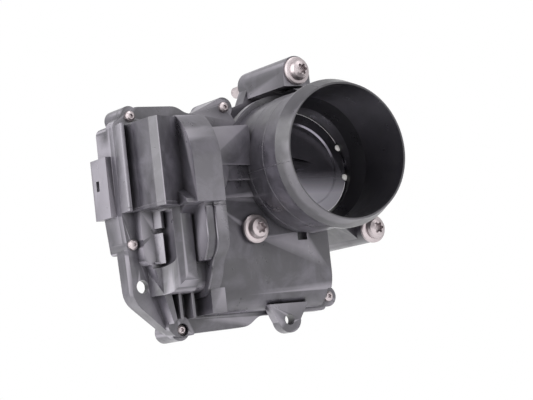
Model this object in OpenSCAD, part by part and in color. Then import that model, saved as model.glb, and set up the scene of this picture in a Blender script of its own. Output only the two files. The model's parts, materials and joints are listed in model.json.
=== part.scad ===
// Electronic throttle body: inlet spigot and air bore in one moulding with the gear and motor case,
// a rear cover with the plug socket, a butterfly plate on a cross shaft, and a two-stage gear drive.
// Frame: +Z up, the bore runs along Y with its mouth toward -Y, and the mounting face is the plane Y = 0.

/* [Bore and inlet] */
// Radius of the air bore at the plate
bore_r = 28.5; // [27:0.5:34.5]
// Radius of the inlet at its mouth
mouth_r = 32.9; // [32:0.1:36]
// Distance from the mounting face to the mouth
body_depth = 84; // [70:1:102]
// Wall of the inlet tube
tube_wall = 2.2; // [1.8:0.1:3]
// Height of the hose bead above the tube
bead_h = 1.7; // [0.8:0.1:2.2]
// Distance of the hose bead from the mouth
bead_back = 7.9; // [6:0.1:12]
// Length of the level crest of the bead
bead_crest = 2; // [1:0.1:3]

/* [Mounting] */
// Thickness of the mounting flange
flange_t = 8; // [6:0.5:10]
// Distance from the mounting face to the bolt pads
pad_depth = 44; // [40:1:46]
// Nominal diameter of the mounting bolts
bolt_d = 6; // [5:1:6]
// Length of a mounting bolt under its head
bolt_len = 60; // [55:1:70]
// Radius of the boss around each mounting bolt
boss_r = 6.6; // [6:0.1:6.8]
// Distances of the three bolts outside the bore wall
bolt_out = [18.6, 16.8, 22.2];
// Directions of the three bolts round the bore, from +X toward +Z
bolt_dir = [88, 223.9, 316.6];

/* [Throttle] */
// Distance from the mounting face to the throttle shaft
shaft_back = 36; // [34:0.5:38]
// Diameter of the throttle shaft
shaft_d = 8; // [7:0.5:9.5]
// Tilt of the resting plate from square across the bore
rest_tilt = 12; // [6:1:16]
// Gap between the plate's edge and the bore
plate_gap = 0.1; // [0.05:0.05:0.3]
// Thickness of the plate
plate_t = 2.2; // [1.8:0.1:2.6]
// Radial running gap of every shaft
run_gap = 0.05; // [0.02:0.01:0.1]

/* [Gears] */
// Module of the first stage
fast_mod = 0.8; // [0.7:0.05:0.85]
// Module of the second stage
slow_mod = 1.0; // [0.95:0.05:1.05]
// Teeth of the motor pinion
pinion_teeth = 12; // [12:1:13]
// Teeth of the large wheel of the middle gear
wheel_teeth = 54; // [53:1:55]
// Teeth of the small wheel of the middle gear
small_teeth = 16; // [16:1:17]
// Teeth of the sector gear, counted as a full wheel
sector_teeth = 44; // [44:1:45]

/* [Motor] */
// Radius of the motor can
motor_r = 14; // [12:0.5:14.5]
// Length of the motor can
motor_len = 56; // [48:1:57]
// Distance from the mounting face to the motor shaft
motor_back = 24; // [22:1:25]

/* [Case] */
// Distance from the mounting face to the seam of the case
seam_back = 26; // [25:0.5:27]
// Thickness of the case flange in front of the seam
rim_t = 4; // [3:0.5:5]
// Wall of the mouldings
wall = 2.5; // [2:0.1:2.8]
// Left end of the gear case
case_left = 98; // [96:1:102]
// Right end of the motor case
case_right = 11; // [10.5:0.5:14]
// Diameter of the cover screws
screw_d = 3; // [2.5:0.5:3.5]

/* [Hidden] */
$fn = 64;
eps = 0.01;
proud = 0.5;
plastic = "#2a2b2e";
steel = "#b9bcc0";

// Places along Y, measured from the mounting face toward the mouth
mouth_y = -body_depth;
pad_y = -pad_depth;
shaft_y = -shaft_back;
motor_y = -motor_back;
seam_y = -seam_back;
rim_y = seam_y - rim_t;

// Radii of the tube and its fittings
shaft_r = shaft_d / 2;
seat_y = shaft_r - 0.8;
flat_y = 0.3;
plate_in_r = bore_r - 6;
pin_r = 2;
tube_r = mouth_r + tube_wall;
bead_r = tube_r + bead_h;
collar_r = tube_r + 2.4;
outlet_r = bore_r + 0.4;
outlet_deep = 20;
bolt_r = bolt_d / 2;
sleeve_in_r = bolt_r + 0.3;
sleeve_out_r = bolt_r + 1.5;
bolt_at = [for (i = [0:2]) (bore_r + bolt_out[i]) * [cos(bolt_dir[i]), sin(bolt_dir[i])]];

// The motor lies under the tube, and the gears stand to the left of it
face_wall = 4;
motor_case_r = motor_r + face_wall;
motor_gap = 0.2;
can_t = 1.2;
magnet_wall = 2.4;
motor_shaft_r = 1.5;
nose_r = 4.4;
nose_room_r = nose_r + 0.1;
nose_room = 3.5;
motor_z = -(tube_r + motor_r + 5.4);
face_y = motor_y - motor_case_r;
motor_x1 = case_right - 5;
motor_x0 = motor_x1 - motor_len;

// Bearings beside the bore, each reached from outside along X
seal_t = 3;
bearing_len = 10;
bearing_wall = 3;
bearing_r = shaft_r + bearing_wall;
seal_x = bore_r + 2;
bearing_x = seal_x + seal_t;
bearing_end_x = bearing_x + bearing_len;

// Stations of the gear train along X, going left
spring_x1 = -(bearing_end_x + 4.5);
spring_len = 10;
wheel_t = 3.2;
wheel_x1 = spring_x1 - spring_len - 0.8;
wheel_x0 = wheel_x1 - wheel_t;
sector_t = 7.5;
sector_x1 = wheel_x0 - 0.8;
sector_x0 = sector_x1 - sector_t;
magnet_t = 4;
magnet_r = 5;
hub_r = shaft_r + 4;
hub_x0 = sector_x0 - magnet_t;
board_t = 1.6;
board_x = hub_x0 - 3;

// Gear centres, found from the two centre distances in the plane across X
addendum = 0.9;
dedendum = 1.15;
pressure_angle = 25;
backlash = 0.14;
fast_gap = fast_mod * (pinion_teeth + wheel_teeth) / 2;
slow_gap = slow_mod * (small_teeth + sector_teeth) / 2;
shaft_at = [shaft_y, 0];
motor_at = [motor_y, motor_z];
span = norm(motor_at - shaft_at);
reach = (slow_gap * slow_gap - fast_gap * fast_gap + span * span) / (2 * span);
side = sqrt(max(0, slow_gap * slow_gap - reach * reach));
toward = (motor_at - shaft_at) / span;
middle_at = shaft_at + reach * toward + side * [toward[1], -toward[0]];
sector_r = slow_mod * sector_teeth / 2 + addendum * slow_mod;
wheel_r = fast_mod * wheel_teeth / 2 + addendum * fast_mod;
wheel_room_r = wheel_r + 0.7;
slow_dir = atan2(middle_at[1] - shaft_at[1], middle_at[0] - shaft_at[0]);
fast_dir = atan2(motor_at[1] - middle_at[1], motor_at[0] - middle_at[0]);

// Gear case dome round the sector gear
sweep_r = sector_r + 1.2;
dome_in_r = sweep_r + 3;
dome_r = dome_in_r + wall;
dome_x0 = sector_x0 - 3 - wall;
dome_x1 = sector_x1 + 2.4;
wheel_case_x0 = wheel_x0 - 1.8;
wheel_case_x1 = wheel_x1 + 1.8;
dome_top = 24.5;
wheel_case_front = shaft_y - dome_r + 6;
spring_room_r = 12;
motor_room_x0 = motor_x0 - 5.5;
pinion_r = fast_mod * pinion_teeth / 2 + addendum * fast_mod;
small_r = slow_mod * small_teeth / 2 + addendum * slow_mod;

// Upper block in front of the sensor board, and the shelf left of it
block_x0 = -(case_left - 6);
block_front = shaft_y - 24;
block_top = 23.5;
block_bottom = -19;
block_back = shaft_y - 16.5;
shelf_y = shaft_y - 4;

// Outline of the case at the seam, seen from the mouth, as [x, z, corner radius]
case_top = dome_r + 3.2;
case_inner_x = -(bearing_end_x - 2.5);
case_bottom = motor_z - motor_case_r - 0.6;
case_foot = case_bottom - 5;
case_mid = motor_z + motor_r + 4;
case_line = [[-case_left, 25, 2], [-86, case_top, 3], [-62, case_top, 3], [-56, case_top - 4, 3],
             [case_inner_x, case_top - 3, 4], [case_inner_x, case_mid, 2],
             [case_right + 2, case_mid, 3], [case_right + 2, case_bottom, 3],
             [-27, case_bottom, 3], [-34, case_foot, 3], [-77, case_foot - 1.5, 4],
             [-(case_left - 2), -62, 5], [-(case_left - 1.5), -38, 2], [-case_left, -19, 2]];

// Outer edge of the seal's groove, which passes inside the screws and holes and outside the rooms
seal_w = 1.6;
seal_line = [[block_x0 - 1.6, block_top + 0.8, 1], [dome_x0 - 7, block_top + 0.8, 1],
             [dome_x0 - 4, case_top - 2.8, 2], [-60, case_top - 2.8, 2],
             [case_inner_x - 2, case_top - 8.8, 2], [case_inner_x - 2, case_mid - 1.7, 1],
             [case_right - 0.4, case_mid - 1.7, 2], [case_right - 0.4, case_bottom + 1.5, 2],
             [motor_room_x0 - 4.5, case_bottom + 1.5, 2], [wheel_case_x0 - 1.2, -63.5, 2],
             [-86.5, -63.5, 3], [-86.5, -21, 1], [block_x0 - 1.6, block_bottom + 0.6, 1]];

// Cover screws at [x, z], and where the head of each seats
screw_at = [[-88.3, 28.1], [-34.8, 31.6], [-93.8, -34.4], [-72.8, -77.1], [14.4, -66.3]];
ear_r = [5.2, 5.2, 3.4, 5.2, 5.2];
screw_tip = 13;
lug_at = [-14.5, -76.7];
lug_r = 6.6;
lug_t = 6;
lug_hole_r = 2.75;
rim_hole_at = [-90.6, -54.8];
rim_hole_r = 3.25;

// Socket for the plug on the left of the rear cover, open toward +Y
board_y = block_back + 5;
socket_x0 = -(case_left + 3);
socket_x1 = socket_x0 + 14;
socket_z0 = -20;
socket_z1 = 9.5;
socket_y = -9;
socket_floor_y = -23;
pin_pitch = 7;
bulge_x1 = wheel_case_x0 - 5.8;
bulge_foot = -60;
bulge_front = face_y - 6.5;
bulge_step = 3.7;
shoulder_w = 4.6;

// ---- Shapes that repeat ----

// Points of an outline with each corner [x, z, r] turned into a short curve
function unit(v) = v / norm(v);
function curve(a, b, c, s) = (1 - s) * (1 - s) * a + 2 * s * (1 - s) * b + s * s * c;
function xy(p) = [p[0], p[1]];
function soft(line, steps = 4) = [for (i = [0:len(line) - 1])
    let (n = len(line),
         b = xy(line[i]),
         a = xy(line[(i + n - 1) % n]),
         c = xy(line[(i + 1) % n]),
         r = min(line[i][2], 0.45 * norm(a - b), 0.45 * norm(c - b)))
    for (k = [0:(r > 0 ? steps : 0)]) curve(b + r * unit(a - b), b, b + r * unit(c - b), k / steps)];

// The same outline moved inward by d, for an outline listed clockwise
function inward(a, b) = let (u = unit(b - a)) [u[1], -u[0]];
function inset(line, d) = [for (i = [0:len(line) - 1])
    let (n = len(line),
         b = xy(line[i]),
         p = inward(xy(line[(i + n - 1) % n]), b),
         q = inward(b, xy(line[(i + 1) % n])),
         m = b + d * (p + q) / (1 + p * q))
    [m[0], m[1], line[i][2]]];

// Extrude a flat shape drawn in X and Z along Y, in Y and Z along X, or in X and Y along Z
module along_y(y0, y1) {
    translate([0, y1, 0]) rotate([90, 0, 0]) linear_extrude(y1 - y0) children();
}
module along_x(x0, x1) {
    translate([x0, 0, 0]) rotate([90, 0, 90]) linear_extrude(x1 - x0) children();
}
module along_z(z0, z1) {
    translate([0, 0, z0]) linear_extrude(z1 - z0) children();
}
module rod_y(at, y0, y1, r) {
    translate([at[0], y1, at[1]]) rotate([90, 0, 0]) cylinder(h = y1 - y0, r = r);
}
module rod_x(at, x0, x1, r) {
    translate([x0, at[0], at[1]]) rotate([0, 90, 0]) cylinder(h = x1 - x0, r = r);
}
module box(x0, x1, y0, y1, z0, z1) {
    translate([x0, y0, z0]) cube([x1 - x0, y1 - y0, z1 - z0]);
}

// Turn a profile of [radius, y] points round the bore axis
module turned_y(points, at = [0, 0]) {
    translate([at[0], 0, at[1]]) rotate([90, 0, 0]) rotate_extrude()
        polygon([for (p = points) [p[0], -p[1]]]);
}
// Turn a profile of [radius, x] points round an axis along X
module turned_x(points, at) {
    translate([0, at[0], at[1]]) rotate([0, 90, 0]) rotate_extrude() polygon(points);
}

// Involute teeth: half the angle that a tooth covers at radius r
function involute(r, base) = let (a = acos(min(1, base / r))) tan(a) * 180 / PI - a;
function tooth_half(r, teeth, mod) = let (pitch = teeth * mod / 2, base = pitch * cos(pressure_angle))
    90 / teeth - backlash * 45 / (PI * pitch) + involute(pitch, base) - involute(max(r, base), base);
function polar(r, a) = [r * cos(a), r * sin(a)];
function tooth(teeth, mod, at) = let (pitch = teeth * mod / 2,
         root = pitch - dedendum * mod,
         tip = pitch + addendum * mod,
         steps = [root, pitch - 0.5 * mod, pitch, pitch + 0.5 * mod, tip])
    concat([for (r = steps) polar(r, at - tooth_half(r, teeth, mod))],
           [for (i = [4:-1:0]) polar(steps[i], at + tooth_half(steps[i], teeth, mod))]);
module wheel2d(teeth, mod, at) {
    polygon([for (k = [0:teeth - 1]) each tooth(teeth, mod, at + 360 * k / teeth)]);
}
module sector2d(teeth, mod, at, first, last) {
    polygon(concat([[0, 0]], [for (k = [first:last]) each tooth(teeth, mod, at + 360 * k / teeth)]));
}

// ---- Mouldings ----

// The case walls in front of the seam, without the tube
module case_front() {
    // Rim that carries the seam, with its ears and lugs
    along_y(rim_y, seam_y) polygon(soft(case_line));
    for (i = [0:len(screw_at) - 1]) rod_y(screw_at[i], rim_y, seam_y, ear_r[i]);
    along_y(rim_y, seam_y) polygon([[case_inner_x - 2, 0], [-56, case_top - 5], screw_at[1] + [-3.4, 4],
                                    screw_at[1] + [4, -3.4], [-20, 10]]);
    along_y(rim_y, seam_y) polygon([[case_right - 4, case_bottom + 1], screw_at[4] + [-2, -ear_r[4]],
                                    screw_at[4] + [ear_r[4], 0], [case_right + 1, case_bottom + 16]]);
    // Motor case with its flat front face
    along_x(motor_room_x0 - wall, case_right) motor_case_side();
    // Dome round the sector gear
    along_x(dome_x0, dome_x1) dome_side(dome_r, block_bottom);
    // Narrow case round the large wheel and the pinion
    along_x(wheel_case_x0, wheel_case_x1) wheel_case_side();
    // Upper block and shelf
    along_z(block_bottom, block_top) polygon(soft([[dome_x0 + 2, seam_y, 0], [-case_left + 0.5, seam_y, 0],
        [-case_left - 1, shelf_y, 1], [-case_left + 1, shelf_y, 0.5],
        [-case_left + 3, shelf_y + 6, 0.8], [block_x0 - 1, shelf_y - 0.5, 0.5],
        [block_x0, block_front + 5, 0.5], [block_x0 + 2, block_front, 0.5], [dome_x0 + 2, block_back, 0]]));
    // Ramp that closes the corner between the block and the dome
    along_x(dome_x0 - 4.5, dome_x0 + 1)
        polygon([[block_back, block_bottom + 8], [block_front - 3, block_bottom + 2],
                 [block_front - 3, block_bottom], [block_back, block_bottom]]);
    // Lower bulge left of the wheel case, round in plan and at its foot
    intersection() {
        along_z(bulge_foot, block_bottom + 1) polygon(soft([[-88, seam_y, 0], [-86, rim_y - 3, 3],
            [-80.5, bulge_front + 2.5, 5], [-76, bulge_front, 3], [bulge_x1, bulge_front, 1.5],
            [bulge_x1, seam_y, 0]]));
        along_x(-90, bulge_x1) bulge_side(0);
    }
    along_x(bulge_x1 - 1, wheel_case_x0 + 1) bulge_side(bulge_step);
    // Underside of the dome, round where the sector gear sweeps through
    intersection() {
        rod_x(shaft_at, dome_x0, dome_x1, sweep_r + 1.5);
        box(dome_x0 - 1, dome_x1 + 1, block_front, seam_y, block_bottom - 9, block_bottom + 1);
    }
    // Shoulder left of the wheel case, under the dome
    along_x(wheel_case_x0 - shoulder_w, wheel_case_x0 + 0.5)
        polygon(soft([[rim_y - 6, block_bottom + 0.5, 0], [wheel_case_front + 0.8, block_bottom + 0.5, 0],
                      [wheel_case_front + 0.8, -38, 4], [face_y - 11, -46, 4], [rim_y - 6, -46, 0]]));
    along_y(rim_y - 6, seam_y) polygon(soft([[-91, block_bottom + 1, 0], [-91.5, -45, 4], [-80, -46, 2],
        [-78, block_bottom + 1, 0]]));
    // Bearing housing between the dome and the tube, stepped down to the motor face
    along_y(shaft_y - 14, seam_y) polygon(soft([[dome_x1 - 2, 18.5, 0], [-bearing_x, 19.5, 2],
        [-bearing_x, -0.5, 0], [dome_x1 - 2, 0.5, 0]]));
    along_y(shaft_y - 11, seam_y) polygon([[dome_x1 - 2, 1], [-bearing_x, 0], [-bearing_x, -7.5],
                                          [dome_x1 - 2, -7]]);
    along_y(shaft_y - 8.5, seam_y) polygon([[dome_x1 - 2, -6], [-bearing_x, -6], [-bearing_x + 4, -15.5],
                                           [dome_x1 - 2, -15.5]]);
    // Small box, corner pad and ribs at the lower left
    box(-62, -54, face_y - 3, seam_y, -71, -59);
    along_y(rim_y - 3, seam_y) polygon(soft([[-80, -71, 2], [-70, -71, 2], [-66, -80, 2], [-77, -80.5, 3],
                                             [-81, -76, 2]]));
    for (x = [-76, -69]) box(x, x + 1.5, face_y + 4, seam_y, -72, -58);
    along_y(rim_y - 8, seam_y) polygon([[-88, -44], [-82, -44], [-78, -72], [-80, -74]]);
    // Lug under the motor case
    rod_y(lug_at, rim_y - 8, rim_y - 8 + lug_t, lug_r);
    along_y(rim_y - 8, rim_y - 8 + lug_t) polygon([[lug_at[0] - 11, case_bottom + 4.5], lug_at + [-lug_r, -1],
        lug_at + [lug_r, 0], [lug_at[0] + 12, case_bottom + 4.5]]);
}

// Side view of the motor case, as Y and Z
module motor_case_side() {
    polygon(concat([[seam_y, -12], [face_y, -12]],
                   [for (a = [180:7.5:262.5]) motor_at + polar(motor_case_r, a)],
                   [[seam_y, motor_z - motor_case_r]]));
}

// Side view of the dome: an arc about the throttle shaft that runs down into a straight front
module dome_side(r, foot) {
    start = 180 - asin(dome_top / r);
    polygon(concat([[seam_y, dome_top]],
                   [for (k = [0:9]) shaft_at + polar(r, start + (180 - start) * k / 9)],
                   [[shaft_y - r, foot], [seam_y, foot]]));
}

// Side view of the narrow case round the large wheel
module wheel_case_side() {
    foot = motor_z - pinion_r - 2.6;
    polygon(soft([[seam_y, -1, 0], [wheel_case_front, -1, 0.5], [wheel_case_front, -40, 4],
                  [face_y - 10.5, -46, 4], [face_y - 7.5, -54, 5], [face_y - 3, foot + 3, 3],
                  [face_y + 1, foot, 1], [seam_y, foot, 0]]));
}

// Side view of the lower bulge, set back by d
module bulge_side(d) {
    polygon(soft([[seam_y, block_bottom + 2, 0], [bulge_front + d, block_bottom + 2, 0],
                  [bulge_front + d, bulge_foot, 10], [seam_y, bulge_foot, 0]]));
}

// Tube, collar, mounting flange and bolt bosses, still solid inside and standing proud of the mounting face
module bore_outside() {
    turned_y([[0, mouth_y], [mouth_r + 1, mouth_y], [bead_r, mouth_y + bead_back],
              [bead_r, mouth_y + bead_back + bead_crest], [tube_r, mouth_y + bead_back + bead_crest + 0.7],
              [tube_r, seam_y - 18], [tube_r - 0.5, seam_y - 17], [tube_r - 0.5, rim_y], [collar_r, rim_y],
              [collar_r, seam_y], [tube_r - 1, seam_y], [tube_r - 1, -flange_t], [collar_r + 1, -flange_t],
              [collar_r + 1, proud], [0, proud]]);
    for (i = [0:2]) {
        rod_y(bolt_at[i], pad_y, proud, boss_r + (i == 0 ? 1.2 : 0));
        // Arm that ties the boss to the flange ring
        bolt_arm(bolt_dir[i], bore_r + bolt_out[i]);
    }
    // Top boss carries a block whose flat left cheek runs down to the tube
    along_y(pad_y, -flange_t) polygon([bolt_at[0] + [-boss_r - 1.2, 0], bolt_at[0] + [-boss_r - 1.2, -7.5],
        bolt_at[0] + [boss_r + 1.2, -12], bolt_at[0] + [boss_r + 1.2, 0]]);
    // Webs between the other bosses and the tube
    along_y(pad_y + 6, proud) polygon([bolt_at[2] + [-4, boss_r * 0.8], bolt_at[2] + [-boss_r * 0.8, -4],
        polar(bore_r, bolt_dir[2] - 16), polar(bore_r, bolt_dir[2] + 16)]);
    along_y(seam_y - 8, proud) polygon([bolt_at[1] + [-boss_r * 0.9, 2], bolt_at[1] + [2, -boss_r * 0.9],
        polar(bore_r, bolt_dir[1] + 16), polar(bore_r, bolt_dir[1] - 16)]);
    // Right bearing housing
    rod_x(shaft_at, bore_r, bearing_end_x + 2.5, bearing_r + 3);
}

module bolt_arm(dir, dist) {
    u = [cos(dir), sin(dir)];
    v = [-u[1], u[0]];
    half = boss_r - 0.5;
    along_y(-flange_t, proud) polygon([(bore_r - 4) * u - 16 * v, dist * u - half * v, dist * u + half * v,
                                       (bore_r - 4) * u + 16 * v]);
}

// Room for the gears, the sensor board and the motor in front of the seam
module case_room() {
    open_y = seam_y + eps;
    // Sector gear, swept right round its front, with the hollow dome above
    top = dome_top - wall;
    low = block_bottom + wall;
    start = 180 - asin(top / dome_in_r);
    end = 180 - asin(low / dome_in_r);
    along_x(dome_x0 + wall, sector_x1 + 0.6) polygon(concat([[open_y, top]],
        [for (k = [0:12]) shaft_at + polar(dome_in_r, start + (end - start) * k / 12)], [[open_y, low]]));
    wheel_room(shaft_at, sector_x0 - 0.8, sector_x1 + 0.6, sweep_r, open_y);
    rod_x(shaft_at, hub_x0 - 1, dome_x0 + wall + 1, hub_r + 1);
    // Large wheel, small wheel and pinion, each open to the seam
    wheel_room(middle_at, wheel_x0 - 0.6, wheel_x1 + 0.6, wheel_room_r, open_y);
    wheel_room(middle_at, sector_x0 - 0.6, wheel_x0, small_r + 0.8, open_y);
    wheel_room(motor_at, wheel_x0 - 0.6, motor_room_x0 + 1, pinion_r + 0.8, open_y);
    // Hub of the sector gear
    rod_x(shaft_at, sector_x1, wheel_x1 + 1, hub_r + 0.6);
    // Motor and return spring
    wheel_room(motor_at, motor_room_x0, motor_x1 + 1, motor_r + motor_gap, open_y);
    wheel_room(shaft_at, wheel_x1, spring_x1 + 0.5, spring_room_r, open_y);
    rod_x(shaft_at, spring_x1, -bearing_end_x, bearing_r);
    // Hollow left of the small wheel, open to the seam
    box(dome_x0 - 1.2, sector_x0 - 1.6, bulge_front + 3, open_y, bulge_foot + 4, block_bottom - 8);
    // Board room behind the upper block
    box(block_x0 + wall, dome_x0 + wall + eps, board_y, open_y, low, top);
}

// Room for a wheel about an axis along X that can be lowered in from the seam
module wheel_room(at, x0, x1, r, open_y) {
    rod_x(at, x0, x1, r);
    if (at[0] < open_y) box(x0, x1, at[0], open_y, at[1] - r, at[1] + r);
}

// Everything round that is cut through the main housing
module housing_bores() {
    turned_y([[0, mouth_y - 1], [mouth_r, mouth_y - 1], [mouth_r - 0.6, seam_y - 26], [bore_r, seam_y - 18],
              [bore_r, -outlet_deep], [outlet_r, -outlet_deep], [outlet_r, 1], [0, 1]]);
    rod_x(shaft_at, -(seal_x + eps), seal_x + eps, shaft_r + run_gap);
    for (s = [-1, 1]) scale_x(s) rod_x(shaft_at, seal_x, bearing_end_x + 3, bearing_r);
    for (p = bolt_at) rod_y(p, pad_y - 1, 1, sleeve_out_r);
    for (p = screw_at) rod_y(p, rim_y - 12, seam_y + 1, screw_d / 2 + 0.2);
    rod_y(lug_at, rim_y - 9, 1, lug_hole_r);
    rod_y(rim_hole_at, rim_y - 9, 1, rim_hole_r);
    // Pocket for the gear pin
    rod_x(middle_at, sector_x0 - 4, wheel_x1 + 4, pin_r);
    // Motor nose
    rod_x(motor_at, motor_x1, motor_x1 + nose_room, nose_room_r);
    // Groove for the flange seal
    turned_y([[bore_r + 3, -2], [bore_r + 6, -2], [bore_r + 6, 1], [bore_r + 3, 1]]);
}

module scale_x(s) {
    mirror([s < 0 ? 1 : 0, 0, 0]) children();
}

module main_housing() {
    color(plastic) difference() {
        union() {
            bore_outside();
            case_front();
        }
        case_room();
        housing_bores();
        // The mounting face is one plane
        box(-case_left, 2 * bore_r, 0, 2 * proud, -3 * bore_r, 2 * bore_r);
        // Slot that cores out the web under the top boss
        box(bolt_at[0][0] - 12, bolt_at[0][0] + 3, pad_y - 1, pad_y + 12,
            bolt_at[0][1] - 9, bolt_at[0][1] - 7.6);
        // Recess in the side of the lower bulge, with two round posts left standing in it
        difference() {
            along_y(block_front, rim_y - 6)
                polygon(soft([[-92, block_bottom - 1, 0], [-79.5, block_bottom - 1, 1],
                              [-79.5, -44, 4], [-83, -47, 3], [-92, -47, 0]]));
            along_z(-28, block_bottom) translate([-82.5, rim_y - 8]) circle(2.6);
            along_z(-45, -30.5) translate([-84, rim_y - 8.4]) circle(2.8);
        }
        // Notch in the motor face under the tube
        box(-7, -1.5, face_y - 4, face_y + 3, -38, -34);
        // Room for each screw head that sits in a corner of the case
        for (p = screw_at) rod_y(p, rim_y - 9, rim_y, 3.1);
        // Corner of the motor case cut back round the right screw
        box(motor_x1 + 2.9, case_right + 1, face_y - 1, rim_y, case_bottom - 1, screw_at[4][1] + 3.6);
    }
}

module rear_cover() {
    color(plastic) difference() {
        union() {
            // Rim and shallow shell that follow the seam
            along_y(seam_y, seam_y + 3) polygon(soft(case_line));
            along_y(seam_y, -12) polygon(soft([[-case_left, 24, 3], [-85, 28, 3], [case_inner_x - 3, 28, 4],
                [case_inner_x - 3, -37, 4], [-(case_left - 1.5), -38, 2], [-case_left, -19, 2]]));
            along_y(seam_y, -18) polygon(soft([[-(case_left - 1.5), -36, 0], [case_inner_x - 3, -36, 2],
                [case_inner_x, case_bottom + 3, 3], [-40, case_foot + 1, 3], [-76, case_foot, 4],
                [-(case_left - 2.5), -61, 5]]));
            // Deep dome round the gears
            along_x(dome_x0, wheel_case_x1) polygon(concat([[seam_y, -52]], [[seam_y, 26]],
                [for (a = [60:-10:-60]) [shaft_y + dome_r * cos(a), 27 * sin(a)]], [[-12, -52]]));
            // Half shells round the motor and the large wheel
            intersection() {
                union() {
                    rod_x(motor_at, dome_x0, case_right + 1, motor_case_r);
                    rod_x(middle_at, wheel_case_x0, wheel_case_x1, wheel_room_r + wall);
                }
                box(dome_x0, case_right + 2, seam_y, 0, -100, 0);
            }
            for (i = [0:len(screw_at) - 1]) rod_y(screw_at[i], seam_y, seam_y + 12, ear_r[i]);
            rod_y(screw_at[1], seam_y, -6, ear_r[1]);
            along_y(seam_y, -10) polygon([[case_inner_x - 4, 24], [case_inner_x - 4, 31],
                                          screw_at[1] + [-3.4, 4], screw_at[1] + [0, -ear_r[1]]]);
            // Socket for the plug
            box(socket_x0, socket_x1, seam_y + 1, socket_y, socket_z0, socket_z1);
        }
        cover_room();
        connector_pins();
        for (p = screw_at) rod_y(p, seam_y - 1, seam_y + screw_tip - rim_t, screw_d / 2);
        // Pocket that keeps the hole in the rim open from behind
        box(rim_hole_at[0] - 4, rim_hole_at[0] + 7.5, seam_y - 1, 1,
            rim_hole_at[1] - 5, rim_hole_at[1] + 5);
        // Seal groove along the seam
        along_y(seam_y - 1, seam_y + 1.6) difference() {
            polygon(soft(seal_line));
            polygon(soft(inset(seal_line, seal_w)));
        }
        // Inside of the socket, its pins and its latch window
        box(socket_x0 + 1.8, socket_x1 - 1.8, socket_floor_y + 2, socket_y + 1,
            socket_z0 + 1.8, socket_z1 - 1.8);
        box(socket_x0 - 1, socket_x0 + 2, -16, -13, -6, -1);
        // Clear of the bolt bosses and the tube
        for (p = bolt_at) rod_y(p, seam_y - 1, 1, boss_r + 0.3);
        turned_y([[0, seam_y - 1], [collar_r + 1.3, seam_y - 1], [collar_r + 1.3, 1], [0, 1]]);
    }
}

// Room inside the rear cover, behind the seam
module cover_room() {
    y0 = seam_y - eps;
    left = min(socket_x1 + wall, board_x - board_t - 0.8);
    along_y(y0, -12 - wall) polygon(soft([[left, 21, 2], [case_inner_x - 6, 21, 2],
        [case_inner_x - 6, -33, 2], [left, -33, 2]]));
    along_x(dome_x0 + wall, wheel_case_x1 - 1.5) polygon(concat([[y0, -49]], [[y0, 23]],
        [for (a = [60:-10:-60]) [shaft_y + dome_in_r * cos(a), 24 * sin(a)]], [[-12 - wall, -49]]));
    intersection() {
        union() {
            rod_x(motor_at, dome_x0 + wall, motor_x1 + 1, motor_r + motor_gap);
            rod_x(motor_at, motor_x1, motor_x1 + nose_room, nose_room_r);
            rod_x(middle_at, wheel_x0 - 0.6, wheel_x1 + 0.6, wheel_room_r);
        }
        box(dome_x0, case_right, y0, 0, -100, 0);
    }
}

module cover_seal() {
    color("#1b1b1c") along_y(seam_y, seam_y + 1.6) difference() {
        polygon(soft(inset(seal_line, 0.1)));
        polygon(soft(inset(seal_line, seal_w - 0.1)));
    }
}

module flange_seal() {
    color("#1b1b1c") turned_y([[bore_r + 3.1, -2], [bore_r + 5.9, -2], [bore_r + 5.9, -0.6],
                               [bore_r + 5.2, 0.4], [bore_r + 3.8, 0.4], [bore_r + 3.1, -0.6]]);
}

// ---- Throttle ----

// Steel shaft with a flat across the bore that the plate lies on
module throttle_shaft() {
    color(steel) difference() {
        tilted() rod_x([0, 0], sector_x0 + 0.5, bearing_end_x - 0.3, shaft_r);
        tilted() box(-bore_r, bore_r, -shaft_r - 1, flat_y, -shaft_r - 1, shaft_r + 1);
        tilted() plate_screw_shape(seat_y + 5);
    }
}

// Butterfly plate: a disc with a raised rim, and a rib that tapers away from the driven end
module throttle_plate() {
    rim_h = 0.7;
    front_y = flat_y - plate_t;
    edge_r = bore_r - plate_gap;
    color("#3a3a3c") tilted() difference() {
        union() {
            turned_y([[0, front_y], [plate_in_r - 0.8, front_y], [plate_in_r, front_y - rim_h],
                      [edge_r - 0.5, front_y - rim_h], [edge_r, front_y], [edge_r, flat_y], [0, flat_y]]);
            intersection() {
                rotate([0, -90, 0]) translate([0, 0, -11]) cylinder(h = 32, r1 = 1.5, r2 = 8.5);
                box(-25, 15, -12, -0.5, -12, 12);
            }
        }
        // Round notches beside the shaft ends
        for (s = [-1, 1], t = [-1, 1]) rod_y([s * (edge_r - 1.4), t * 8], front_y - 2, 1, 2);
        plate_screw_shape(seat_y);
    }
}

// Two small screws that come through the shaft from behind and hold the plate on its flat
module plate_screws() {
    color(steel) tilted() difference() {
        plate_screw_shape(seat_y + 1.8);
        for (s = [-1, 1]) rod_y([s * bore_r / 2, 0], seat_y + 0.9, seat_y + 3, 0.9);
    }
}

// Turn a shape drawn about the shaft to the resting tilt of the plate
module tilted() {
    translate([0, shaft_y, 0]) rotate([-rest_tilt, 0, 0]) children();
}

// Shanks and heads of the plate screws, with the heads reaching back to y
module plate_screw_shape(y) {
    for (s = [-1, 1]) {
        rod_y([s * bore_r / 2, 0], flat_y - plate_t + 0.5, seat_y + 0.5, 1.25);
        rod_y([s * bore_r / 2, 0], seat_y, max(y, seat_y + eps), 2.4);
    }
}

module bearing(x0) {
    turned_x([[shaft_r + run_gap, x0], [bearing_r, x0], [bearing_r, x0 + bearing_len],
              [shaft_r + run_gap, x0 + bearing_len]], shaft_at);
}
module left_bearing() {
    color(steel) bearing(-bearing_end_x);
}
module right_bearing() {
    color(steel) bearing(bearing_x);
}

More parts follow.
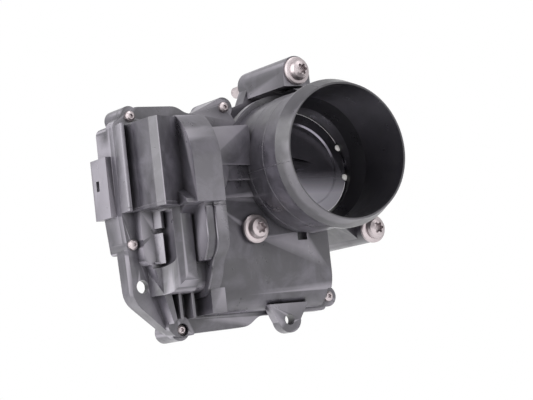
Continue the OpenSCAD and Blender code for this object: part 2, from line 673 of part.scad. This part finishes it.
module shaft_seals() {
    color("#1b1b1c") for (x = [-bearing_x, seal_x])
        turned_x([[shaft_r + run_gap, x], [bearing_r, x], [bearing_r, x + seal_t],
                  [shaft_r + run_gap, x + seal_t]], shaft_at);
}

module shaft_plug() {
    color(steel) rod_x(shaft_at, bearing_end_x, bearing_end_x + 2, bearing_r);
}

// ---- Gears ----

module sector_gear() {
    color("#d9d6c8") difference() {
        union() {
            along_x(sector_x0, sector_x1) translate(shaft_at)
                sector2d(sector_teeth, slow_mod, slow_dir, -ceil(sector_teeth * rest_tilt / 360) - 2,
                         floor(sector_teeth * 96 / 360));
            rod_x(shaft_at, hub_x0, sector_x1 + 0.4, hub_r);
        }
        rod_x(shaft_at, sector_x0 + 0.5, sector_x1 + 2, shaft_r);
        rod_x(shaft_at, hub_x0 - 1, hub_x0 + magnet_t, magnet_r);
        // Lightening pocket between the hub and the rim
        for (k = [18, 45, 72])
            rod_x(shaft_at + polar(sector_r * 0.62, slow_dir + k), sector_x0 - 1, sector_x0 + 5, 4);
    }
}

module sensor_magnet() {
    color("#6d6f73") rod_x(shaft_at, hub_x0, hub_x0 + magnet_t, magnet_r);
}

module sensor_board() {
    color("#1f5c3a") box(board_x - board_t, board_x, board_y + 0.6, -12 - wall, -14, 17);
    color("#222222") box(board_x - eps, board_x + 1.4, shaft_y - 3, shaft_y + 3, -2.5, 2.5);
}

// Coil of round wire about an axis along X
function coil_point(r, turns, len, k, n) = let (a = 360 * turns * k / n)
    [len * k / n, r * cos(a), r * sin(a)];
module coil(r, wire, turns, len, per_turn = 24, sides = 6) {
    n = per_turn * turns;
    rings = [for (k = [0:n]) let (a = 360 * turns * k / n, c = coil_point(r, turns, len, k, n))
             for (j = [0:sides - 1]) let (b = 360 * j / sides)
                 c + wire * [cos(b), sin(b) * cos(a), sin(b) * sin(a)]];
    polyhedron(rings, concat([[for (j = [0:sides - 1]) sides - 1 - j]],
        [for (k = [0:n - 1], j = [0:sides - 1]) let (i = k * sides, m = (j + 1) % sides)
            [i + j, i + m, i + m + sides, i + j + sides]],
        [[for (j = [0:sides - 1]) n * sides + j]]));
}

module return_spring() {
    color("#8f9296") translate([spring_x1 - spring_len + 1, shaft_y, 0]) coil(10.5, 0.7, 5, spring_len - 2);
}

module spring_collar() {
    color("#c9c4b4") turned_x([[shaft_r + 0.3, spring_x1 - spring_len], [9.2, spring_x1 - spring_len],
                               [9.2, spring_x1], [shaft_r + 0.3, spring_x1]], shaft_at);
}

module middle_gear() {
    color("#e4e0d0") difference() {
        union() {
            along_x(wheel_x0, wheel_x1) translate(middle_at) wheel2d(wheel_teeth, fast_mod, fast_dir);
            along_x(sector_x0, wheel_x0) translate(middle_at)
                wheel2d(small_teeth, slow_mod, slow_dir + 180 + 180 / small_teeth);
        }
        rod_x(middle_at, sector_x0 - 1, wheel_x1 + 1, pin_r + run_gap);
        // Thinned web
        turned_x([[slow_mod * small_teeth / 2 + 1, wheel_x1 - 1.2], [wheel_r - 4, wheel_x1 - 1.2],
                  [wheel_r - 4, wheel_x1 + 1], [slow_mod * small_teeth / 2 + 1, wheel_x1 + 1]], middle_at);
    }
}

module gear_pin() {
    color(steel) rod_x(middle_at, sector_x0 - 4, wheel_x1 + 4, pin_r);
}

// ---- Motor ----

module motor_pinion() {
    color("#b08d4a") difference() {
        along_x(wheel_x0, wheel_x1 + 1) translate(motor_at)
            wheel2d(pinion_teeth, fast_mod, fast_dir + 180 + 180 / pinion_teeth);
        rod_x(motor_at, wheel_x0 - 1, wheel_x1 + 2, motor_shaft_r);
    }
}

module motor_can() {
    color("#9a9da1") turned_x([[motor_r - can_t, motor_x0], [motor_r, motor_x0], [motor_r, motor_x1],
        [nose_r, motor_x1], [nose_r, motor_x1 + 1.6], [motor_shaft_r + run_gap, motor_x1 + 1.6],
        [motor_shaft_r + run_gap, motor_x1 - can_t],
        [motor_r - can_t, motor_x1 - can_t]], motor_at);
}

module motor_end_cap() {
    color("#3b3b3d") difference() {
        turned_x([[motor_shaft_r + run_gap, motor_x0 - 1.5], [5, motor_x0 - 1.5], [5, motor_x0 - 0.2],
                  [motor_r - 0.4, motor_x0], [motor_r - can_t, motor_x0], [motor_r - can_t, motor_x0 + 2],
                  [motor_shaft_r + run_gap, motor_x0 + 2]], motor_at);
        for (s = [-1, 1]) box(motor_x0 - 2, motor_x0 + 3, motor_y - 1, motor_y + 1, motor_z + s * 9 - 1.5,
                              motor_z + s * 9 + 1.5);
    }
}

module motor_magnets() {
    color("#55585c") for (start = [25, 205]) translate([motor_x0 + 12, motor_y, motor_z]) rotate([0, 90, 0])
        rotate([0, 0, start]) rotate_extrude(angle = 130)
        translate([motor_r - can_t - magnet_wall, 0]) square([magnet_wall - 0.02, 30]);
}

module motor_armature() {
    core_r = motor_r - can_t - magnet_wall - 0.4;
    color(steel) rod_x(motor_at, wheel_x0, motor_x1 + 1, motor_shaft_r);
    color("#7d4a2c") difference() {
        rod_x(motor_at, motor_x0 + 12, motor_x0 + 42, core_r);
        for (k = [0:4]) translate([0, motor_y, motor_z]) rotate([72 * k, 0, 0])
            box(motor_x0 + 11, motor_x0 + 43, core_r * 0.45, core_r + 1, -1, 1);
    }
    color("#b08d4a") rod_x(motor_at, motor_x0 + 4.5, motor_x0 + 12, 3.5);
}

module motor_brushes() {
    color("#2c2c2c") for (s = [-1, 1]) translate([motor_x0 + 8, motor_y, motor_z]) rotate([90 * s, 0, 0])
        translate([-2, -1.5, 3.55]) cube([4, 3, 5]);
}

module motor_spring_washer() {
    color(steel) turned_x([[5.5, motor_x1], [9, motor_x1], [9, motor_x1 + 1], [5.5, motor_x1 + 1]],
                          motor_at);
}

// Two flat leads from the motor's end cap up to the sensor board
module motor_leads() {
    color("#c0a060") for (s = [-1, 1]) {
        box(motor_x0 - 3.2, motor_x0 + 2, motor_y - 0.8, motor_y + 0.8,
            motor_z + s * 9 - 0.4, motor_z + s * 9 + 0.4);
    }
}

module connector_pins() {
    pin_t = 0.8;
    first_z = (socket_z0 + socket_z1 - pin_t) / 2 - pin_pitch;
    color("#c9b070") for (i = [0:2], j = [0:1])
        translate([socket_x0 + 4.5 + j * 4, socket_floor_y - 1, first_z + i * pin_pitch])
            cube([pin_t, socket_y - socket_floor_y - 3, pin_t]);
}

// ---- Fasteners ----

// Recess for a six-lobed driver, cut from the front of a head
module star_recess(r, y0, y1) {
    rod_y([0, 0], y0, y1, r * 0.72);
    for (k = [0:5]) rod_y(polar(r * 0.78, 60 * k), y0, y1, r * 0.24);
}

module flange_bolts() {
    head_r = 7.1;
    shank_r = 0.88 * bolt_r;
    color(steel) for (p = bolt_at) translate([p[0], pad_y, p[1]]) difference() {
        turned_y([[0, -6.2], [2.6, -6.2], [4.4, -5.2], [5.1, -3.6], [5.2, -2.2], [head_r - 0.6, -1.9],
                  [head_r, -1.3], [head_r, 0], [shank_r, 0], [shank_r, pad_depth + 0.6],
                  [bolt_r, pad_depth + 1], [bolt_r, bolt_len - 1], [bolt_r - 0.8, bolt_len], [0, bolt_len]]);
        star_recess(2.9, -7, -3.4);
    }
}

module bolt_sleeves() {
    color("#8d9094") for (p = bolt_at)
        turned_y([[sleeve_in_r, pad_y], [sleeve_out_r, pad_y], [sleeve_out_r, 0], [sleeve_in_r, 0]], p);
}

module cover_screws() {
    color(steel) for (p = screw_at) translate([p[0], rim_y, p[1]]) difference() {
        turned_y([[0, -2.2], [1.5, -2.2], [2.5, -1.4], [2.7, 0], [screw_d / 2, 0],
                  [screw_d / 2, screw_tip - 1], [0.4, screw_tip], [0, screw_tip]]);
        star_recess(1.2, -3, -1);
    }
}

main_housing();
rear_cover();
cover_seal();
flange_seal();
throttle_shaft();
throttle_plate();
plate_screws();
left_bearing();
right_bearing();
shaft_seals();
shaft_plug();
sector_gear();
sensor_magnet();
sensor_board();
return_spring();
spring_collar();
middle_gear();
gear_pin();
motor_pinion();
motor_can();
motor_end_cap();
motor_magnets();
motor_armature();
motor_brushes();
motor_spring_washer();
motor_leads();
connector_pins();
flange_bolts();
bolt_sleeves();
cover_screws();
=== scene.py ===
# Electronic throttle body on a white studio floor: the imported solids, with a finish on each part and rounded
# edges on the two large mouldings, and the small moulded detail that stands on them.
import json
import math

import bmesh
import bpy
from mathutils import Matrix, Vector


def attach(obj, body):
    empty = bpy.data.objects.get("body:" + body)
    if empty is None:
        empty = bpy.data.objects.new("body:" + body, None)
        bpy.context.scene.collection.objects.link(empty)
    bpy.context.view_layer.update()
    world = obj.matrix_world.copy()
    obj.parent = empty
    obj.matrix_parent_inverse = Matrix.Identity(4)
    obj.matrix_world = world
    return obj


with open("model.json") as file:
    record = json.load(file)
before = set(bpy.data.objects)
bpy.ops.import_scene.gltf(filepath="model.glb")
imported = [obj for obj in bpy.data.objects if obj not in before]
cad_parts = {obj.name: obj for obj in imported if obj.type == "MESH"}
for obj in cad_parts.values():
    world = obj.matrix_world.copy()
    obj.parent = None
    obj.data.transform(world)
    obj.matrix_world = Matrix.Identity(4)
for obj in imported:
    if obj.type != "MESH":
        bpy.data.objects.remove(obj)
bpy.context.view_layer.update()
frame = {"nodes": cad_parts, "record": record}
NODES = frame["nodes"]
MM = 0.001
SHAFT_Y = -36.0                    # throttle shaft, measured from the mounting face
REST_TILT = math.radians(-12.0)    # the plate's lean at rest
scene = bpy.context.scene
scene.view_settings.view_transform = "Standard"


# ---- Materials ----

def linear(code, alpha=1.0):
    """An sRGB hex colour as linear red, green, blue and alpha."""
    parts = [int(code[i:i + 2], 16) / 255 for i in (1, 3, 5)]
    return [v / 12.92 if v <= 0.04045 else ((v + 0.055) / 1.055) ** 2.4 for v in parts] + [alpha]


def add(mat, kind, sets=None, into=None):
    """Add a shader node, set its properties, then fill its sockets with values or links."""
    made = mat.node_tree.nodes.new("ShaderNode" + kind)
    for name, value in (sets or {}).items():
        setattr(made, name, value)
    for name, value in (into or {}).items():
        socket = made.inputs[name]
        if isinstance(value, bpy.types.NodeSocket):
            mat.node_tree.links.new(value, socket)
        else:
            socket.default_value = value
    return made


def per_mm(size_mm):
    """Noise scale that gives patches about this many millimetres across."""
    return 1 / (size_mm * MM)


def surface(name, dark, light, patch_mm, rough, grain_mm, grain_height_mm, metallic=0.0, ior=None,
            coat=0.0, stretch=(1, 1, 1)):
    """A finish whose colour and roughness drift in patches, over a grain that stands up as bump.

    Real grain is finer than a tenth of a millimetre on most of these, so it is drawn coarser to show.
    """
    mat = bpy.data.materials.new(name)
    mat.use_nodes = True
    mat.node_tree.nodes.clear()
    place = add(mat, "TexCoord").outputs["Object"]
    drawn = add(mat, "Mapping", into={"Vector": place, "Scale": stretch}).outputs["Vector"]
    patches = add(mat, "TexNoise", into={"Vector": drawn, "Scale": per_mm(patch_mm), "Detail": 5.0,
                                         "Roughness": 0.6}).outputs["Fac"]
    grain = add(mat, "TexNoise", into={"Vector": drawn, "Scale": per_mm(grain_mm),
                                       "Detail": 3.0}).outputs["Fac"]
    colour = add(mat, "Mix", {"data_type": "RGBA"},
                 {"Factor": patches, "A": linear(dark), "B": linear(light)})
    spread = add(mat, "MapRange", into={"Value": patches, "From Min": 0.3, "From Max": 0.7,
                                        "To Min": rough[0], "To Max": rough[1]})
    bump = add(mat, "Bump", into={"Height": grain, "Distance": grain_height_mm * MM, "Strength": 0.6})
    shader = add(mat, "BsdfPrincipled", into={"Base Color": colour.outputs["Result"],
                                              "Metallic": metallic,
                                              "Roughness": spread.outputs["Result"],
                                              "Normal": bump.outputs["Normal"]})
    if ior:
        shader.inputs["IOR"].default_value = ior
    shader.inputs["Coat Weight"].default_value = coat
    add(mat, "OutputMaterial", into={"Surface": shader.outputs["BSDF"]})
    return mat, shader, colour, spread


def moulded_nylon(bore_mm):
    """Black nylon with a grey bloom in patches; inside the bore it is painted near black as painted shade,
    without bloom.
    """
    mat, shader, colour, spread = surface("glass_filled_nylon", "#27252a", "#36343a", 9, (0.28, 0.46),
                                          0.9, 0.012, ior=1.53)
    place = add(mat, "TexCoord").outputs["Object"]
    # Bloom: dusty grey clouds about a centimetre and a half across
    clouds = add(mat, "TexNoise", into={"Vector": place, "Scale": per_mm(16), "Detail": 6.0,
                                        "Roughness": 0.65, "Distortion": 0.6}).outputs["Fac"]
    bloom = add(mat, "MapRange", into={"Value": clouds, "From Min": 0.44, "From Max": 0.68,
                                       "To Max": 0.7})
    dusty = add(mat, "Mix", {"data_type": "RGBA"},
                {"Factor": bloom.outputs["Result"], "A": colour.outputs["Result"],
                 "B": linear("#4f4c54")})
    # Smudges: wiped streaks about a centimetre wide, darker and glossier than the bloom
    streaks = add(mat, "Mapping", into={"Vector": place, "Rotation": (0.3, 0.2, 0.5),
                                        "Scale": (1, 1, 0.4)})
    wiped = add(mat, "TexNoise", into={"Vector": streaks.outputs["Vector"], "Scale": per_mm(11),
                                       "Detail": 4.0, "Distortion": 0.8}).outputs["Fac"]
    smudge = add(mat, "MapRange", into={"Value": wiped, "From Min": 0.5, "From Max": 0.7, "To Max": 0.5})
    dusty = add(mat, "Mix", {"data_type": "RGBA"},
                {"Factor": smudge.outputs["Result"], "A": dusty.outputs["Result"],
                 "B": linear("#1d1b20")})
    glossier = add(mat, "Math", {"operation": "MULTIPLY_ADD"},
                   {0: smudge.outputs["Result"], 1: -0.16, 2: spread.outputs["Result"]})
    mat.node_tree.links.new(glossier.outputs[0], shader.inputs["Roughness"])
    # Wear: the corners rub paler than the faces
    sharp = add(mat, "NewGeometry").outputs["Pointiness"]
    worn = add(mat, "MapRange", into={"Value": sharp, "From Min": 0.53, "From Max": 0.64, "To Max": 0.5})
    rubbed = add(mat, "Mix", {"data_type": "RGBA"},
                 {"Factor": worn.outputs["Result"], "A": dusty.outputs["Result"],
                  "B": linear("#858189")})
    # Mouth: the band in front of the bead is drawn darker
    along_bore = add(mat, "SeparateXYZ", into={"Vector": place}).outputs["Y"]
    band = add(mat, "MapRange", into={"Value": along_bore, "From Min": -75.6 * MM,
                                      "From Max": -76.2 * MM, "To Max": 0.6})
    rubbed = add(mat, "Mix", {"data_type": "RGBA"},
                 {"Factor": band.outputs["Result"], "A": rubbed.outputs["Result"],
                  "B": linear("#1b191e")})
    # Bore: everything nearer to the bore axis than its wall is painted near black, as painted shade inside the
    # tube
    flat = add(mat, "VectorMath", {"operation": "MULTIPLY"}, {0: place, 1: (1, 0, 1)}).outputs["Vector"]
    radius = add(mat, "VectorMath", {"operation": "LENGTH"}, {0: flat}).outputs["Value"]
    out_of_bore_shade = add(mat, "MapRange", into={"Value": radius, "From Min": bore_mm * MM,
                                         "From Max": (bore_mm + 0.6) * MM})
    body = add(mat, "Mix", {"data_type": "RGBA"},
               {"Factor": out_of_bore_shade.outputs["Result"], "A": linear("#17161a"),
                "B": rubbed.outputs["Result"]})
    # Recesses: painted shade, near black where ambient occlusion finds walls close by
    shade = add(mat, "AmbientOcclusion", {"samples": 6}, {"Distance": 8 * MM}).outputs["AO"]
    open_air = add(mat, "MapRange", into={"Value": shade, "From Min": 0.25, "From Max": 0.66,
                                          "To Min": 0.2})
    recess_painted_shade = add(mat, "Mix", {"data_type": "RGBA"},
               {"Factor": open_air.outputs["Result"], "A": linear("#121114"),
                "B": body.outputs["Result"]})
    mat.node_tree.links.new(recess_painted_shade.outputs["Result"], shader.inputs["Base Color"])
    return mat


def burnished_plate():
    """Graphite-filled plate, burnished so that it mirrors the bore, with painted light on its lower half, pale
    and dull below the shaft.
    """
    mat, shader, colour, _ = surface("burnished_graphite_plate", "#6a6770", "#78757e", 7, (0.1, 0.18),
                                     0.7, 0.002, metallic=1.0)
    # Painted light: pale and dull, from just under the shaft down to the lower edge
    place = add(mat, "TexCoord").outputs["Object"]
    height = add(mat, "SeparateXYZ", into={"Vector": place}).outputs["Z"]
    lower_painted_light = add(mat, "MapRange", into={"Value": height, "From Min": -3 * MM, "From Max": -15 * MM,
                                      "To Max": 0.85}).outputs["Result"]
    plate_lit_lower = add(mat, "Mix", {"data_type": "RGBA"},
                 {"Factor": lower_painted_light, "A": colour.outputs["Result"], "B": linear("#b9b6c0")})
    metal_above_light = add(mat, "MapRange", into={"Value": lower_painted_light, "To Min": 1.0, "To Max": 0.1}).outputs["Result"]
    mat.node_tree.links.new(plate_lit_lower.outputs["Result"], shader.inputs["Base Color"])
    mat.node_tree.links.new(metal_above_light, shader.inputs["Metallic"])
    return mat


# Glass-filled nylon: injection moulded black, with a grey bloom, a soft sheen, painted shade in its recesses
# and a bore painted dark as shade
nylon = moulded_nylon(bore_mm=33.0)
# Burnished plate: grey mirror above the shaft, painted light below it, pale and dull
plate_nylon = burnished_plate()
# Painted highlight: a pale ring on the plate's rim where it meets the bore, drawn as a bright edge
painted_rim_highlight = surface("plate_rim_highlight_finish", "#cfccd2", "#e6e4e8", 2, (0.3, 0.45), 0.4, 0.004)[0]
# Natural acetal: slightly waxy off-white gears
acetal = surface("natural_acetal", "#dcd9d6", "#e8e6e4", 5, (0.3, 0.42), 0.6, 0.01, ior=1.48)[0]
# Zinc plated steel: cold headed, with a warm passivated tint and soft bright patches
zinc = surface("zinc_plated_steel", "#8f8789", "#b6adaf", 1.6, (0.34, 0.55), 0.35, 0.01, metallic=1.0)[0]
# Ground steel: bright, with fine lines round the shaft
ground = surface("ground_steel", "#a9a9aa", "#c2c2c4", 3, (0.2, 0.32), 0.3, 0.004, metallic=1.0,
                 stretch=(6, 1, 1))[0]
# Spring steel: oil tempered, dark and slightly blue
spring = surface("oil_tempered_steel", "#4c4e52", "#6a6c70", 2, (0.3, 0.45), 0.4, 0.005, metallic=1.0)[0]
# Deep drawn steel with a zinc skin: even grey, drawn lines along the can
drawn_steel = surface("drawn_steel_can", "#8d9094", "#a7aaae", 6, (0.3, 0.42), 0.5, 0.004, metallic=1.0,
                      stretch=(0.3, 1, 1))[0]
# Sintered ferrite: matt charcoal with a stone-like grain
ferrite = surface("sintered_ferrite", "#2f3033", "#434448", 1.5, (0.6, 0.75), 0.3, 0.02)[0]
# Enamelled copper wire wound on laminations: dark amber and glossy
copper = surface("enamelled_copper", "#6f3217", "#9c5226", 1.2, (0.2, 0.35), 0.5, 0.05, metallic=0.6,
                 coat=0.4)[0]
# Turned brass: yellow, bright
brass = surface("turned_brass", "#b08d4a", "#c9a65c", 2, (0.25, 0.38), 0.4, 0.004, metallic=1.0)[0]
# Pressed carbon: matt black
carbon = surface("pressed_carbon", "#1c1c1c", "#2c2c2c", 1, (0.6, 0.75), 0.3, 0.01)[0]
# Nitrile rubber: matt black with a faint bloom
rubber = surface("nitrile_rubber", "#17171a", "#242427", 3, (0.6, 0.8), 0.4, 0.01)[0]
# Epoxy board under green solder mask: glossy
board = surface("solder_mask_board", "#123f28", "#1d5a3a", 4, (0.25, 0.35), 0.4, 0.005, coat=0.3)[0]

FINISH = {"glass_filled_nylon": nylon, "plate_plastic": plate_nylon, "gear_acetal": acetal,
          "zinc_steel": zinc, "ground_steel": ground, "spring_steel": spring,
          "motor_steel": drawn_steel, "ferrite": ferrite, "copper_winding": copper, "brass": brass,
          "carbon": carbon, "seal_rubber": rubber, "circuit_board": board}


# ---- Solids from the frame ----

def round_edges(obj, radius_mm, sharp_degrees):
    """Join the mesh along its edges, melt flat faces together, round the sharp edges, even the shading."""
    weld = obj.modifiers.new("weld", "WELD")
    weld.merge_threshold = 0.002 * MM
    flat = obj.modifiers.new("flat", "DECIMATE")
    flat.decimate_type = "DISSOLVE"
    flat.angle_limit = math.radians(0.4)
    bevel = obj.modifiers.new("round", "BEVEL")
    bevel.width = radius_mm * MM
    bevel.segments = 2
    bevel.limit_method = "ANGLE"
    bevel.angle_limit = math.radians(sharp_degrees)
    bevel.use_clamp_overlap = True
    bevel.harden_normals = True
    even = obj.modifiers.new("even", "WEIGHTED_NORMAL")
    even.keep_sharp = True
    for face in obj.data.polygons:
        face.use_smooth = True


for entry in frame["record"]["subparts"]:
    solid = NODES[entry["node"]]
    solid.data.materials.clear()
    solid.data.materials.append(FINISH[entry["material_slot"]])

for moulding in ("main_housing", "rear_cover"):
    round_edges(NODES[moulding], radius_mm=0.35, sharp_degrees=14.0)


# ---- Detail that stands on the mouldings ----

def piece(name, mesh, body, finish):
    """Finish a mesh as a named piece that rides on a body."""
    for face in mesh.faces:
        face.smooth = True
    data = bpy.data.meshes.new(name)
    mesh.to_mesh(data)
    mesh.free()
    data.materials.append(finish)
    obj = bpy.data.objects.new(name, data)
    scene.collection.objects.link(obj)
    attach(obj, body)


def skin(mesh, rings, closed=False):
    """Faces from each ring of points to the next, then a cap at each end or a join of last to first."""
    pairs = list(zip(rings, rings[1:])) + ([(rings[-1], rings[0])] if closed else [])
    for a, b in pairs:
        for j in range(len(a)):
            k = (j + 1) % len(a)
            mesh.faces.new((a[j], a[k], b[k], b[j]))
    if not closed:
        mesh.faces.new(list(reversed(rings[0])))
        mesh.faces.new(rings[-1])
    bmesh.ops.recalc_face_normals(mesh, faces=mesh.faces)


# Section of a bead: sideways as a share of its half width, and up as a share of its height
BEAD = ((-1, -0.6), (-0.8, 0.4), (-0.3, 0.95), (0.3, 0.95), (0.8, 0.4), (1, -0.6))


def ridge(mesh, path, outs, half_mm, high_mm, closed=False):
    """A low rounded bead along a path in millimetres, on a surface whose outward directions are outs."""
    rings = []
    for i, (at, out) in enumerate(zip(path, outs)):
        ahead = path[(i + 1) % len(path)] if closed or i + 1 < len(path) else at
        behind = path[i - 1] if closed or i > 0 else at
        along = (Vector(ahead) - Vector(behind)).normalized()
        up = Vector(out).normalized()
        side = along.cross(up)
        rings.append([mesh.verts.new((Vector(at) + side * half_mm * u + up * high_mm * v) * MM)
                      for u, v in BEAD])
    skin(mesh, rings, closed)


def round_bore(radius, angle):
    """A point's X and Z at this radius and angle round the bore, and its outward direction."""
    a = math.radians(angle)
    return (radius * math.cos(a), radius * math.sin(a)), (math.cos(a), 0, math.sin(a))


# Outside of the tube as radius and Y, from the mouth over the bead to the root
TUBE_R = 35.1
TUBE_PROFILE = ((34.1, -83.6), (35.4, -80), (36.8, -75.9), (36.8, -74.3), (TUBE_R, -73.2),
                (TUBE_R, -60), (TUBE_R, -44.6))

# Parting line of the tool: it climbs the mouth, crosses the bead and runs back along the tube
parting = bmesh.new()
for angle in (187, 112):
    spots = [round_bore(radius, angle) for radius, _ in TUBE_PROFILE]
    ridge(parting, [(x, y, z) for ((x, z), _), (_, y) in zip(spots, TUBE_PROFILE)],
          [out for _, out in spots], half_mm=0.22, high_mm=0.12)
piece("tube_parting_lines", parting, "housing", nylon)

# Witness rings where the slides of the tool met the tube
RING_STEPS = 96
rings = bmesh.new()
for y in (-62.0, -48.5):
    spots = [round_bore(TUBE_R, 360 * k / RING_STEPS) for k in range(RING_STEPS)]
    ridge(rings, [(x, y, z) for (x, z), _ in spots], [out for _, out in spots],
          half_mm=0.2, high_mm=0.1, closed=True)
piece("tube_witness_rings", rings, "housing", nylon)


def rounded(points, steps=5):
    """A path through corners of (a, b, radius), with each corner turned into a short curve."""
    path = []
    for i, (a, b, r) in enumerate(points):
        here = Vector((a, b))
        if r == 0 or i in (0, len(points) - 1):
            path.append(here)
            continue
        before, after = Vector(points[i - 1][:2]), Vector(points[i + 1][:2])
        start = here + r * (before - here).normalized()
        end = here + r * (after - here).normalized()
        for k in range(steps + 1):
            t = k / steps
            path.append((1 - t) ** 2 * start + 2 * t * (1 - t) * here + t * t * end)
    return path


def outward(path):
    """Sideways direction at each point of a flat path, to the right of its travel."""
    ways = []
    for i in range(len(path)):
        way = path[min(i + 1, len(path) - 1)] - path[max(i - 1, 0)]
        ways.append(Vector((way.y, -way.x)).normalized())
    return ways


# Parting line round the upper block, just above its lower edge
BLOCK_LINE_Z = -17.4
block_line = rounded(((-98.9, -38, 0), (-98.9, -40, 0.6), (-97, -39.9, 0.5), (-95, -34.2, 0.8),
                      (-93, -40.4, 0.5), (-92, -55, 0.5), (-90, -59.9, 0.5), (-76.5, -54, 0)))
block_ridge = bmesh.new()
ridge(block_ridge, [(p.x, p.y, BLOCK_LINE_Z) for p in block_line],
      [(d.x, d.y, 0) for d in outward(block_line)], half_mm=0.3, high_mm=0.16)
piece("block_parting_line", block_ridge, "housing", nylon)

# Lips down the left front corners of the wheel case and of its shoulder, and across their tops.
# Each has the corner's X, its fall as Y, Z and radius, and the points of its top.
LIPS = ((-63.5,
         ((-59.55, -21, 0), (-59.55, -40, 4), (-52.45, -46, 4), (-49.45, -54, 5), (-45.6, -59, 0)),
         ((-63.6, -59.5, -20.6), (-60, -59.5, -20.4), (-57.2, -59.5, -20.6))),
        (-68.2,
         ((-58.75, -21, 0), (-58.75, -38, 4), (-53.1, -45.8, 0)),
         ((-68.3, -58.7, -20.6), (-66, -58.7, -20.5), (-63.8, -58.7, -20.6))))
CORNER_OUT, FRONT_OUT = (-0.7, -0.7, 0), (0, -1, 0)
lip = bmesh.new()
for x, corners, top in LIPS:
    fall = rounded(corners)
    ridge(lip, [(x, p.x, p.y) for p in fall], [CORNER_OUT] * len(fall), half_mm=0.45, high_mm=0.3)
    ridge(lip, top, [FRONT_OUT] * len(top), half_mm=0.6, high_mm=0.35)
piece("wheel_case_lip", lip, "housing", nylon)

# Rounded wall in front of the return spring, where the steps of the moulding run thin and open.
# Its section is radius round the shaft and X; it starts behind the shaft's left and sweeps below it.
WALL_SECTION = ((12.1, -59.4), (13.3, -59.4), (13.5, -59.0), (13.5, -47.6), (13.3, -47.2), (12.1, -47.2))
WALL_START, WALL_SWEEP, WALL_STEPS = 176, 56, 14
spring_wall = bmesh.new()
stations = []
for k in range(WALL_STEPS + 1):
    a = math.radians(WALL_START + WALL_SWEEP * k / WALL_STEPS)
    stations.append([spring_wall.verts.new(Vector((x, SHAFT_Y + radius * math.cos(a),
                                                   radius * math.sin(a))) * MM)
                     for radius, x in WALL_SECTION])
skin(spring_wall, stations)
piece("spring_room_wall", spring_wall, "housing", nylon)


def on_plate(x, y, z):
    """A point drawn about the throttle shaft, turned to the resting tilt, in millimetres."""
    return (x, SHAFT_Y + y * math.cos(REST_TILT) - z * math.sin(REST_TILT),
            y * math.sin(REST_TILT) + z * math.cos(REST_TILT))


# Painted highlight round the plate's rim, in an upper and a lower arc that stop short of the shaft
EDGE_R, EDGE_Y, EDGE_STEPS = 28.0, -2.45, 48
PLATE_OUT = Vector(on_plate(0, -1, 0)) - Vector(on_plate(0, 0, 0))
edge = bmesh.new()
for first, last in ((22, 158), (202, 338)):
    arc = [math.radians(first + (last - first) * k / EDGE_STEPS) for k in range(EDGE_STEPS + 1)]
    ridge(edge, [on_plate(EDGE_R * math.cos(a), EDGE_Y, EDGE_R * math.sin(a)) for a in arc],
          [PLATE_OUT] * len(arc), half_mm=0.26, high_mm=0.22)
piece("plate_rim_painted_highlight", edge, "throttle", painted_rim_highlight)

# Small domed acetal stops in the plate's notches, with their profile as radius and Y
STOP_PROFILE = ((1.75, 0.2), (1.75, -2.6), (1.5, -2.95), (0.9, -3.2))
STOP_X, STOP_Z, STOP_SIDES = 26.6, 8, 12
stops = bmesh.new()
for sx in (-1, 1):
    for sz in (-1, 1):
        rows = []
        for radius, y in STOP_PROFILE:
            turns = [math.radians(360 * k / STOP_SIDES) for k in range(STOP_SIDES)]
            rows.append([stops.verts.new(Vector(on_plate(sx * STOP_X + radius * math.cos(a), y,
                                                         sz * STOP_Z + radius * math.sin(a))) * MM)
                         for a in turns])
        skin(stops, rows)
piece("plate_notch_stops", stops, "throttle", acetal)


# ---- Camera, floor and lights ----

def aim(azimuth, elevation, roll):
    """Axes of a camera that looks from this azimuth and elevation, in degrees, turned by roll."""
    a, e, r = (math.radians(v) for v in (azimuth, elevation, roll))
    back = Vector((math.sin(a) * math.cos(e), -math.cos(a) * math.cos(e), math.sin(e)))
    level = Vector((math.cos(a), math.sin(a), 0))
    upright = back.cross(level)
    return (math.cos(r) * level - math.sin(r) * upright, math.sin(r) * level + math.cos(r) * upright, back)


TARGET = Vector((-27.33, -49.0, -18.05)) * MM
DISTANCE = 1.0        # metres from the target
SENSOR = 36.0
FRAME_WIDTH = 533
FOCAL = 2040          # focal length, in the same unit as the frame's width
right, upward, back = aim(azimuth=-32.36, elevation=-5.75, roll=6.40)
lens = bpy.data.cameras.new("studio_camera")
lens.sensor_width = SENSOR
lens.lens = FOCAL * SENSOR / FRAME_WIDTH
lens.clip_end = 20
camera = bpy.data.objects.new("studio_camera", lens)
scene.collection.objects.link(camera)
stand = Matrix((right, upward, back)).transposed().to_4x4()
stand.translation = TARGET + back * DISTANCE
camera.matrix_world = stand
scene.camera = camera

FLOOR_Z = -0.25
bpy.ops.mesh.primitive_plane_add(size=6, location=(0, 0, FLOOR_Z))
floor = bpy.context.object
floor.name = "studio_floor"
# White paper: uncoated card, with a faint fibre texture
paper = surface("white_paper", "#f4f4f4", "#fafafa", 60, (0.7, 0.8), 2, 0.02)[0]
floor.data.materials.append(paper)

world = bpy.data.worlds.new("studio")
scene.world = world
world.use_nodes = True
background = world.node_tree.nodes["Background"]
background.inputs["Color"].default_value = linear("#ffffff")
background.inputs["Strength"].default_value = 1.0


def softbox(name, place, size, watts):
    """A square soft light that faces the object."""
    light = bpy.data.lights.new(name, "AREA")
    light.shape = "SQUARE"
    light.size = size
    light.energy = watts
    lamp = bpy.data.objects.new(name, light)
    lamp.location = place
    lamp.rotation_euler = (TARGET - Vector(place)).to_track_quat("-Z", "Y").to_euler()
    scene.collection.objects.link(lamp)


softbox("left_softbox", (-1.2, -0.05, 0.35), size=1.8, watts=40)
softbox("top_softbox", (0.1, -0.5, 1.2), size=0.8, watts=8)
softbox("low_front_softbox", (0.1, -1.1, -0.1), size=1.2, watts=7)
